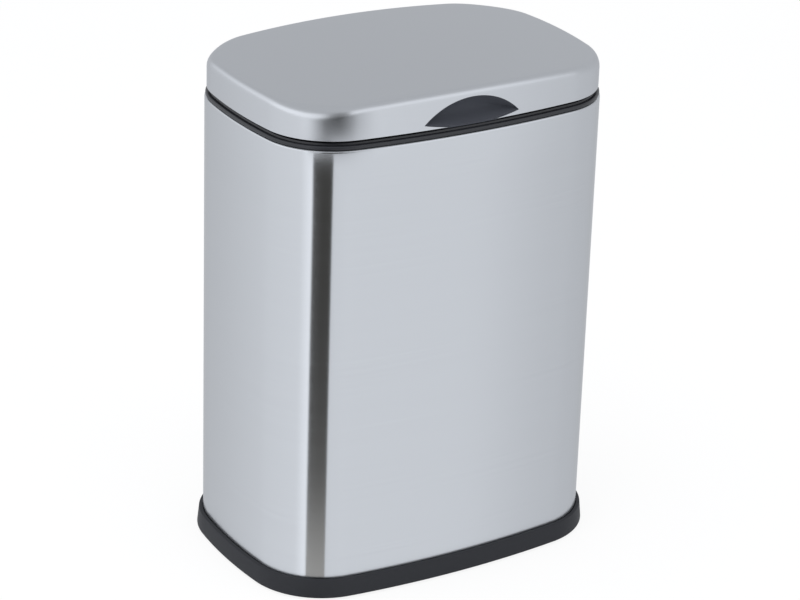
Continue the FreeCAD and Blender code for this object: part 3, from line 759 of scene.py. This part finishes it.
hinge_base = block("hinge_base", block_low, (block_high.x, block_high.y, foot_high), 0.0004)
for start, end in ((-0.045, -0.033), (-0.006, 0.006), (0.033, 0.045)):
    combine(hinge_base, knuckle("fixed", start, end, bore, stand_half), "UNION")
for x, y in hinge_screw_places:
    combine(hinge_base, peg("hole", x, y, screw_radius, hole_low, hole_high), "DIFFERENCE")
seat(hinge_base, "hinge_block", black_plastic)

# %% [markdown]
# The leaf is a thin moulded plate with two round corners. Its outline is a section seen from above, drawn
# up to the liner's panel. A gap for the middle knuckle is cut first, and then its own knuckles are joined
# on. They are bored a little wider than the pin, so that the lid turns freely.

# %% Hinge leaf
leaf_low, leaf_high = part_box("lid_leaf")
leaf_bottom, leaf_corner, gap_half, pin_play = 0.2640, 0.0040, 0.0064, 0.00005
corners = [(leaf_low.x, hinge_y, 0.0), (leaf_low.x, leaf_low.y, leaf_corner)]
corners += [(leaf_high.x, leaf_low.y, leaf_corner), (leaf_high.x, hinge_y, 0.0)]
outline = rounded(corners, closed=True, steps=10)
hinge_leaf = capped("hinge_leaf", [[Vector((x, y, z)) for x, y in outline] for z in (leaf_bottom, panel_low)])
gap_rear, gap_low, gap_high = 0.070, 0.255, 0.270
gap = block("gap", (-gap_half, hinge_front, gap_low), (gap_half, gap_rear, gap_high))
combine(hinge_leaf, gap, "DIFFERENCE")
for start, end in ((-0.0326, -gap_half), (gap_half, 0.0326)):
    combine(hinge_leaf, knuckle("moving", start, end, bore + pin_play), "UNION")
leaf_screw_y, hole_low, hole_high = 0.045, 0.260, 0.270
leaf_screw_places = [(x, leaf_screw_y) for x in (-0.0266, -0.0124, 0.0124, 0.0266)]
for x, y in leaf_screw_places:
    combine(hinge_leaf, peg("hole", x, y, screw_radius, hole_low, hole_high), "DIFFERENCE")
seat(hinge_leaf, "lid_leaf", black_plastic)

# %% [markdown]
# ## Pin and clip
# The pin is a turned steel bar with a head. A push-on clip on its tail keeps it from walking out. Both are
# sections turned about the hinge's axis, drawn as upright circles from end to end.

# %% Pin and clip


def bar_along(corners):
    """Loops of a section of (radius, x) corners turned about the hinge's axis."""
    return [hoop(x, hinge_y, hinge_z, radius) for radius, x in rounded(corners)]


pin_start, pin_end = (corner.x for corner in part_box("hinge_pin"))
head_radius, head_end, pin_edge = 0.0025, -0.045, 0.0005
corners = [(0.0, pin_start, 0.0), (head_radius, pin_start, pin_edge), (head_radius, head_end, 0.0)]
corners += [(bore, head_end, 0.0), (bore, pin_end, pin_edge), (0.0, pin_end, 0.0)]
seat(skin("steel_pin", bar_along(corners)), "hinge_pin", zinc_plate)

clip_low, clip_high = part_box("pin_clip")
clip_radius, clip_edge = (clip_high.y - clip_low.y) / 2, 0.0004
corners = [(bore, clip_low.x, 0.0), (clip_radius, clip_low.x, 0.0), (clip_radius, clip_high.x, clip_edge)]
corners += [(bore, clip_high.x, 0.0)]
seat(skin("push_clip", bar_along(corners), closed=True), "pin_clip", zinc_plate)

# %% [markdown]
# ## Screws
# Two pan-head screws hold the hinge block and four hold the leaf. One function turns the head and shank and
# cuts the cross recess with two thin blocks. The thread is hidden in plastic, so the shank is left plain.
# The screws of a set stay separate solids in one named piece.

# %% Screws
screw_head, head_high, head_edge, screw_points = 0.0025, 0.0015, 0.0007, 40
shank_point, point_length = 0.0008, 0.0012
cross_long, cross_half, cross_depth = 0.0015, 0.00035, 0.0008


def pan_screw(x, y, seat_z, tail_z):
    """One pan-head screw whose head stands on a seat, away from its tail."""
    out = 1 if seat_z > tail_z else -1
    top = seat_z + head_high * out
    section = [(0.0, tail_z, 0.0), (shank_point, tail_z, 0.0)]
    section += [(screw_radius, tail_z + point_length * out, 0.0), (screw_radius, seat_z, 0.0)]
    section += [(screw_head, seat_z, 0.0)]
    section += [(screw_head, top, head_edge), (0.0, top, 0.0)]
    screw = turned("screw", x, y, section, screw_points)
    low_z, high_z = sorted((top - cross_depth * out, top + 0.001 * out))
    for wide, long in ((cross_long, cross_half), (cross_half, cross_long)):
        cross = block("cross", (x - wide, y - long, low_z), (x + wide, y + long, high_z))
        combine(screw, cross, "DIFFERENCE")
    return screw


def joined(name, pieces):
    """Separate solids kept together as one named piece."""
    bpy.ops.object.select_all(action="DESELECT")
    for piece in pieces:
        piece.select_set(True)
    bpy.context.view_layer.objects.active = pieces[0]
    bpy.ops.object.join()
    pieces[0].name = pieces[0].data.name = name
    return pieces[0]


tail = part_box("hinge_screws")[0].z
block_screws = joined("block_screws", [pan_screw(x, y, foot_high, tail) for x, y in hinge_screw_places])
seat(block_screws, "hinge_screws", zinc_plate)
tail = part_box("leaf_screws")[1].z
lid_screws = joined("lid_screws", [pan_screw(x, y, leaf_bottom, tail) for x, y in leaf_screw_places])
seat(lid_screws, "leaf_screws", zinc_plate)

# %% [markdown]
# ## The bucket
# The bucket is a tapered moulding that hangs by its rim on the collar's ledge. Its rear is drawn in to
# clear the hinge, so it follows the bay plan. One section gives both faces of the wall, the floor and the
# rim. Two ears, each an arch with a web and an eye, carry the bail and are joined on.

# %% Bucket
bucket_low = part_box("inner_bucket")[0].z
bucket_floor = bucket_low + 0.0020
rim_low, rim_high, rim_edge = 0.2401, 0.2421, 0.0072
wall_top, wall_bottom, bucket_wall = 0.0109, 0.0149, 0.0015
section = [(deep, bucket_low, 0.0), (wall_bottom, bucket_low, 0.0060), (wall_top, rim_low, 0.0004)]
section += [(rim_edge, rim_low, 0.0004), (rim_edge, rim_high, 0.0006)]
section += [(wall_top + bucket_wall, rim_high, 0.0006), (wall_bottom + bucket_wall, bucket_floor, 0.0045)]
section += [(deep, bucket_floor, 0.0)]
bucket = filled("lift_out_bucket", section, bay_plan, steps=7)

ear_low_x, ear_high_x, web_x, ear_half = 0.0846, 0.0870, 0.0894, 0.0060
ear_bottom, eye_z, eye_radius, arch_steps = rim_low - 0.0080, 0.2454, 0.0016, 24
web_bite, eye_start, eye_end = 0.0002, 0.080, 0.092
arch = [(-ear_half, ear_bottom), (ear_half, ear_bottom)]
for step in range(arch_steps + 1):
    turn = math.pi * step / arch_steps
    arch.append((ear_half * math.cos(turn), eye_z + ear_half * math.sin(turn)))
for side in (-1, 1):
    ear = capped("ear", [[Vector((side * x, y, z)) for y, z in arch] for x in (ear_low_x, ear_high_x)])
    combine(bucket, ear, "UNION")
    low, high = sorted((side * (ear_high_x - web_bite), side * web_x))
    combine(bucket, block("web", (low, -ear_half, ear_bottom), (high, ear_half, rim_low + bite)), "UNION")
    eye = capped("eye", [hoop(side * x, 0.0, eye_z, eye_radius) for x in (eye_start, eye_end)])
    combine(bucket, eye, "DIFFERENCE")
seat(bucket, "inner_bucket", bucket_plastic)

# %% [markdown]
# ## The bail
# A plated wire runs from ear to ear along the bowed sides and straight across the front, with a plastic
# sleeve to hold. It is bent from one rod, so its path is made of arcs and lines that meet without a kink,
# and a circle is carried along it. A curve with a bevel would do as well, but would still have to be made a
# mesh.

# %% Path of the bail
wire_radius, stub_x, leg_x, bail_front, bend, corner_turn = 0.0015, 0.0835, 0.0907, -0.0555, 0.0025, 0.034
leg_bow = side_bow - half_width + leg_x
bow_middle = Vector((leg_x - leg_bow, 0.0))
bend_middle = Vector((bow_middle.x + math.sqrt((leg_bow - bend) ** 2 - bend**2), -bend))
corner_y = corner_turn + bail_front
corner_middle = Vector((bow_middle.x + math.sqrt((leg_bow - corner_turn) ** 2 - corner_y**2), corner_y))


def arc_points(middle, radius, start, end, steps):
    """Points along an arc, with angles from +X."""
    turns = [start + (end - start) * step / steps for step in range(steps + 1)]
    return [middle + Vector((math.cos(turn), math.sin(turn))) * radius for turn in turns]


bend_turn = math.atan2(bend_middle.y, bend_middle.x - bow_middle.x)
corner_start = math.atan2(corner_middle.y, corner_middle.x - bow_middle.x)
half_path = [Vector((stub_x, 0.0))]
half_path += arc_points(bend_middle, bend, math.pi / 2, bend_turn, 8)
half_path += arc_points(bow_middle, leg_bow, bend_turn, corner_start, 10)[1:]
half_path += arc_points(corner_middle, corner_turn, corner_start, -math.pi / 2, 24)[1:]
path = half_path + [Vector((-spot.x, spot.y)) for spot in reversed(half_path)]
print("points along the bail:", len(path))

# %% [markdown]
# The wire is a circle set square to the path at each of its points, and the sleeve is a bored tube with
# round ends on the straight part. The sleeve's bore is the wire's own radius, so it fits the wire without a
# gap.

# %% Bail wire and sleeve


def wire_loop(number, count=20):
    """A circle across the path at one of its points."""
    before, after = path[max(number - 1, 0)], path[min(number + 1, len(path) - 1)]
    along = (after - before).normalized()
    sideways, upwards = Vector((-along.y, along.x, 0.0)), Vector((0.0, 0.0, 1.0))
    here = path[number].to_3d() + Vector((0, 0, eye_z))
    spots = [(wire_radius * math.cos(turn), wire_radius * math.sin(turn)) for turn in all_round(count)]
    return [here + sideways * out + upwards * above for out, above in spots]


seat(capped("bail_rod", [wire_loop(number) for number in range(len(path))]), "bail_wire", zinc_plate)

sleeve_half, sleeve_radius, sleeve_edge = 0.040, 0.0030, 0.0008
corners = [(wire_radius, -sleeve_half, 0.0), (sleeve_radius, -sleeve_half, sleeve_edge)]
corners += [(sleeve_radius, sleeve_half, sleeve_edge), (wire_radius, sleeve_half, 0.0)]
loops = [hoop(x, bail_front, eye_z, radius) for radius, x in rounded(corners, closed=True)]
seat(skin("bail_sleeve", loops, closed=True), "bail_grip", grip_plastic)

# %% [markdown]
# ## Camera
# The camera was fitted to the outline in the photograph: its turn, rise, roll and distance follow from the
# way the sides lean together. Its place is built from its own axes, which is easier to check than three
# Euler angles.

# %% Camera
turn, rise, roll = (math.radians(value) for value in (-31.792, 23.432, 1.867))
aim_height, aside, distance = 0.13227, 0.00178, 1.55777
sensor_width, focal_pixels, picture_width = 36.0, 2893.24, 800.0
camera_data = bpy.data.cameras.new("camera")
camera = bpy.data.objects.new("camera", camera_data)
bpy.context.scene.collection.objects.link(camera)
bpy.context.scene.camera = camera
back = Vector((math.sin(turn) * math.cos(rise), -math.cos(turn) * math.cos(rise), math.sin(rise)))
right = Vector((math.cos(turn), math.sin(turn), 0.0))
up = back.cross(right)
across = right * math.cos(roll) + up * math.sin(roll)
upward = up * math.cos(roll) - right * math.sin(roll)
stand = Vector((0.0, 0.0, aim_height)) + right * aside + back * distance
rows = [(across[axis], upward[axis], back[axis], stand[axis]) for axis in range(3)]
camera.matrix_world = Matrix((*rows, (0.0, 0.0, 0.0, 1.0)))
camera_data.sensor_width = sensor_width
camera_data.lens = sensor_width * focal_pixels / picture_width
camera_data.clip_end = 50.0
print("camera stands at", tuple(round(value, 3) for value in stand))

# %% [markdown]
# ## Floor
# The photograph was taken on white. The floor is matt white paper that glows a little for the camera alone,
# so that it meets the white background without a line and still keeps the bin's shadow. More light would
# also whiten the floor, but it would wash out the steel.

# %% Floor
floor_size, floor_drop, camera_share = 12.0, 0.0003, 0.86
bpy.context.scene.view_settings.view_transform = "Standard"
bpy.ops.object.select_all(action="DESELECT")
bpy.ops.mesh.primitive_plane_add(size=floor_size)
floor = bpy.context.object
floor.name = floor.data.name = "studio_floor"
for corner in floor.data.vertices:
    corner.co.z = -floor_drop
paper = bpy.data.materials.new("floor paper")
paper.use_nodes = True
tree = paper.node_tree
tree.nodes.clear()
ray = shader(tree, "LightPath")
matt = shader(tree, "BsdfDiffuse", [("Color", (0.92, 0.92, 0.92, 1.0))])
glow = shader(tree, "Emission", [("Color", (1.0, 1.0, 1.0, 1.0)), ("Strength", 1.02)])
share = shader(tree, "Math", [(0, ray.outputs["Is Camera Ray"]), (1, camera_share)], operation="MULTIPLY")
both = shader(tree, "MixShader", [(0, share.outputs[0]), (1, matt.outputs[0]), (2, glow.outputs[0])])
shader(tree, "OutputMaterial", [("Surface", both.outputs[0])])
floor.data.materials.append(paper)
floor.visible_glossy = False
print("floor of", [round(value, 2) for value in floor.dimensions[:2]], "metres")

# %% [markdown]
# ## The room that the steel mirrors
# Steel shows its surroundings more than itself, and a real studio is not white all round. The world is
# white to the camera, and to reflections it is a room in soft greys: walls whose tone goes with the
# direction, a belt above them with tones of its own, which the lid mirrors, a plain ceiling, and a dark
# band towards the camera for the photographer's side. The front corner of the steel mirrors that band as a
# dark stripe. A picture of a studio would do the same, but a few tones are easier to read and to change.

# %% Tones of the room
room_tint = (0.975, 1.0, 1.045)
wall_tones = [(-180, 0.64), (-162, 0.72), (-134, 0.93), (-70, 1.0), (-54, 1.29), (-18, 0.99), (35, 0.96)]
wall_tones += [(48, 0.79), (90, 0.73), (120, 0.61), (180, 0.64)]
upper_tones = [(-180, 0.65), (-172, 0.67), (-158, 1.04), (-130, 1.14), (-115, 1.32), (-60, 1.32)]
upper_tones += [(10, 1.20), (42, 1.20), (60, 0.74), (105, 0.65), (180, 0.65)]
zenith_tone = 0.65
belt_start, belt_end, zenith_start, zenith_end = 0.12, 0.28, 0.60, 0.80


def tinted(level, tint):
    """A grey level in a tint, as a colour."""
    return (*(level * part for part in tint), 1.0)


def ramp(tree, source, tones, tint):
    """A colour ramp from a list of places and grey levels."""
    node = shader(tree, "ValToRGB", [(0, source)])
    marks = node.color_ramp.elements
    while len(marks) < len(tones):
        marks.new(0.5)
    for mark, (place, level) in zip(marks, tones):
        mark.position = place
        mark.color = tinted(level, tint)
    return node.outputs[0]


def blend(tree, share, first, second):
    """A mix of two colours."""
    return shader(tree, "Mix", [(0, share), (6, first), (7, second)], data_type="RGBA").outputs[2]


def between(tree, share, first, second):
    """A mix of two values."""
    return shader(tree, "Mix", [(0, share), (2, first), (3, second)]).outputs[0]


def soft_step(tree, value, start, end):
    """A soft rise from 0 to 1."""
    steps = [("Value", value), (1, start), (2, end)]
    return shader(tree, "MapRange", steps, interpolation_type="SMOOTHSTEP").outputs[0]


def turn_of(tree, way):
    """The angle of a direction from the front, seen from above."""
    front = shader(tree, "Math", [(0, way.outputs["Y"]), (1, -1.0)], operation="MULTIPLY").outputs[0]
    return shader(tree, "Math", [(0, way.outputs["X"]), (1, front)], operation="ARCTAN2").outputs[0]


def tone_round(tree, turn, tones):
    """A tone that goes with an angle; the list gives its angles in degrees."""
    share = shader(tree, "MapRange", [("Value", turn), (1, -math.pi), (2, math.pi)])
    return ramp(tree, share.outputs[0], [((angle + 180) / 360, level) for angle, level in tones], room_tint)


print("room with", len(wall_tones), "wall tones and", len(upper_tones), "tones above them")

# %% [markdown]
# The tones are put together from the walls upwards: the belt, the dark band, the ceiling, and last the
# white that the camera alone sees. The band is drawn by the distance from its middle direction. It shifts
# and pales with height, because the lid mirrors a higher part of the room than the body does.

# %% World
white = (1.0, 1.0, 1.0, 1.0)
dark_colour, dim_colour = (0.058, 0.056, 0.051, 1.0), (0.24, 0.245, 0.25, 1.0)
band_middle, band_half, band_edge = math.radians(-37.15), math.radians(14.85), 0.01
high_middle, high_half = math.radians(-22.0), math.radians(18.0)
lift_start, lift_end = -0.05, 0.20

world = bpy.data.worlds.new("studio")
bpy.context.scene.world = world
world.use_nodes = True
tree = world.node_tree
tree.nodes.clear()
place = shader(tree, "TexCoord")
way = shader(tree, "SeparateXYZ", [(0, place.outputs["Generated"])])
height = way.outputs["Z"]
turn = turn_of(tree, way)
walls = tone_round(tree, turn, wall_tones)
upper = tone_round(tree, turn, upper_tones)
room = blend(tree, soft_step(tree, height, belt_start, belt_end), walls, upper)
lift = soft_step(tree, height, lift_start, lift_end)
middle = between(tree, lift, band_middle, high_middle)
half = between(tree, lift, band_half, high_half)
dark = blend(tree, lift, dark_colour, dim_colour)
off = shader(tree, "Math", [(0, turn), (1, middle)], operation="SUBTRACT")
apart = shader(tree, "Math", [(0, off.outputs[0])], operation="ABSOLUTE")
over = shader(tree, "Math", [(0, apart.outputs[0]), (1, half)], operation="SUBTRACT")
edge = [("Value", over.outputs[0]), (1, -band_edge), (2, band_edge), (3, 1.0), (4, 0.0)]
banded = blend(tree, shader(tree, "MapRange", edge).outputs[0], room, dark)
ceiling = soft_step(tree, height, zenith_start, zenith_end)
capped_room = blend(tree, ceiling, banded, tinted(zenith_tone, room_tint))
ray = shader(tree, "LightPath")
seen = blend(tree, ray.outputs["Is Camera Ray"], capped_room, white)
light = shader(tree, "Background", [("Color", seen), ("Strength", 1.0)])
shader(tree, "OutputWorld", [("Surface", light.outputs[0])])
print("dark band from", round(math.degrees(band_middle - band_half)), "to",
      round(math.degrees(band_middle + band_half)), "degrees")

# %% [markdown]
# ## Cards for the reflections
# A photographer sets boards and cards round a shiny object to shape its reflections. Two are used here, and
# they show in reflections alone. A board on the floor, pale near the bin, makes the body's dark stripe fade
# towards the base. A dark card before the lid's near corner gives the lid its soft dark patch. Their points
# follow the line of sight: it leaves the camera, meets the round corner and goes on at the mirrored angle.

# %% Cards
near_corner = Vector((-0.0595, -0.0258))
sight = stand.xy - near_corner
sight_turn = math.atan2(sight.x, -sight.y)


def heading(angle):
    """A level direction at an angle from the front."""
    return Vector((math.sin(angle), -math.cos(angle)))


def mirrored(turn, reach, z):
    """A point that the camera sees mirrored in the near corner, in a direction and at a distance."""
    wall = near_corner + heading((turn + sight_turn) / 2) * corner_round
    return (wall + heading(turn) * reach).to_3d() + Vector((0, 0, z))


def spread(start, end, count):
    """Evenly spread values."""
    return [start + (end - start) * step / (count - 1) for step in range(count)]


def card(name, rows, paint):
    """A card through rows of points that only shows in reflections; its paint gives the tone at a place."""
    bpy.ops.object.select_all(action="DESELECT")
    bpy.ops.mesh.primitive_grid_add(x_subdivisions=len(rows[0]) - 1, y_subdivisions=len(rows) - 1, size=1.0)
    board = bpy.context.object
    board.name = board.data.name = name
    for vertex, spot in zip(board.data.vertices, [spot for row in rows for spot in row]):
        vertex.co = spot
    finish = bpy.data.materials.new(name)
    finish.use_nodes = True
    tree = finish.node_tree
    tree.nodes.clear()
    place = shader(tree, "TexCoord")
    glow = shader(tree, "Emission", [("Color", paint(tree, place.outputs["Object"])), ("Strength", 1.0)])
    shader(tree, "OutputMaterial", [("Surface", glow.outputs[0])])
    board.data.materials.append(finish)
    board.visible_camera = board.visible_diffuse = board.visible_shadow = board.visible_transmission = False
    print(name, "of", len(board.data.vertices), "points")


# %% [markdown]
# The board lies just above the floor, where the body's near corner mirrors it. It could be a plain
# rectangle, but a fan of mirrored points keeps it within the dark stripe. Its tone goes with the distance
# from the bin.

# %% Board on the floor
board_rows, board_height, board_reach = (0.002, 0.03, 0.06, 0.11, 0.18, 0.26, 0.36), 0.0004, 0.5
board_columns, board_tint = 17, (1.0, 0.98, 0.94)
board_tones = [(0.06, 0.50), (0.142, 0.28), (0.150, 0.14), (0.27, 0.085), (0.39, 0.058)]


def paint_by_distance(tree, place):
    """The board darkens away from the bin."""
    away = shader(tree, "VectorMath", [(0, place), (1, (*near_corner, 0.0))], operation="DISTANCE")
    share = shader(tree, "Math", [(0, away.outputs["Value"]), (1, board_reach)], operation="DIVIDE")
    tones = [(reach / board_reach, level) for reach, level in board_tones]
    return ramp(tree, share.outputs[0], tones, board_tint)


turns = spread(band_middle - band_half, band_middle + band_half, board_columns)
rows = [[mirrored(turn, reach, board_height) for turn in turns] for reach in board_rows]
card("near_board", rows, paint_by_distance)

# %% [markdown]
# The dark card bends round the lid's near corner. Its tone goes with the direction, and it fades to a light
# tone at both ends and at its lower edge, so that those edges do not show in the steel.

# %% Dark card before the lid's corner
card_reach, card_rows, card_fade = 0.030, (0.242, 0.270), 0.250
card_start, card_end, card_columns = math.radians(-60), math.radians(36), 25
card_tones = [(-50, 1.0), (-42, 0.50), (-34, 0.08), (-18, 0.04), (-4, 0.40), (11, 1.0)]


def paint_by_direction(tree, place):
    """The card's tone goes with the direction from the near corner and fades at its lower edge."""
    apart = shader(tree, "VectorMath", [(0, place), (1, (*near_corner, 0.0))], operation="SUBTRACT")
    way = shader(tree, "SeparateXYZ", [(0, apart.outputs[0])])
    tone = tone_round(tree, turn_of(tree, way), card_tones)
    fade = shader(tree, "MapRange", [("Value", way.outputs["Z"]), (1, card_rows[0]), (2, card_fade)])
    return blend(tree, fade.outputs[0], tinted(1.0, room_tint), tone)


turns = spread(card_start, card_end, card_columns)
rows = [[mirrored(turn, card_reach, z) for turn in turns] for z in card_rows]
card("dark_card", rows, paint_by_direction)

# %% [markdown]
# ## Lamp
# One large soft lamp overhead lights the black plastics and gives the soft shadow on the floor. The steel
# does not mirror it, because its reflections come from the room and the cards.

# %% Lamp
lamp_size, lamp_power = 1.4, 12.0
lamp_place, lamp_aim = (-0.3, -0.3, 1.9), Vector((0.0, 0.0, 0.1))
lamp_data = bpy.data.lights.new("overhead", "AREA")
lamp_data.shape = "DISK"
lamp_data.size = lamp_size
lamp_data.energy = lamp_power
lamp = bpy.data.objects.new("overhead", lamp_data)
bpy.context.scene.collection.objects.link(lamp)
lamp.location = lamp_place
lamp.rotation_euler = (lamp_aim - lamp.location).to_track_quat("-Z", "Y").to_euler()
lamp.visible_glossy = False
print("one soft lamp overhead,", lamp_size, "metres wide")
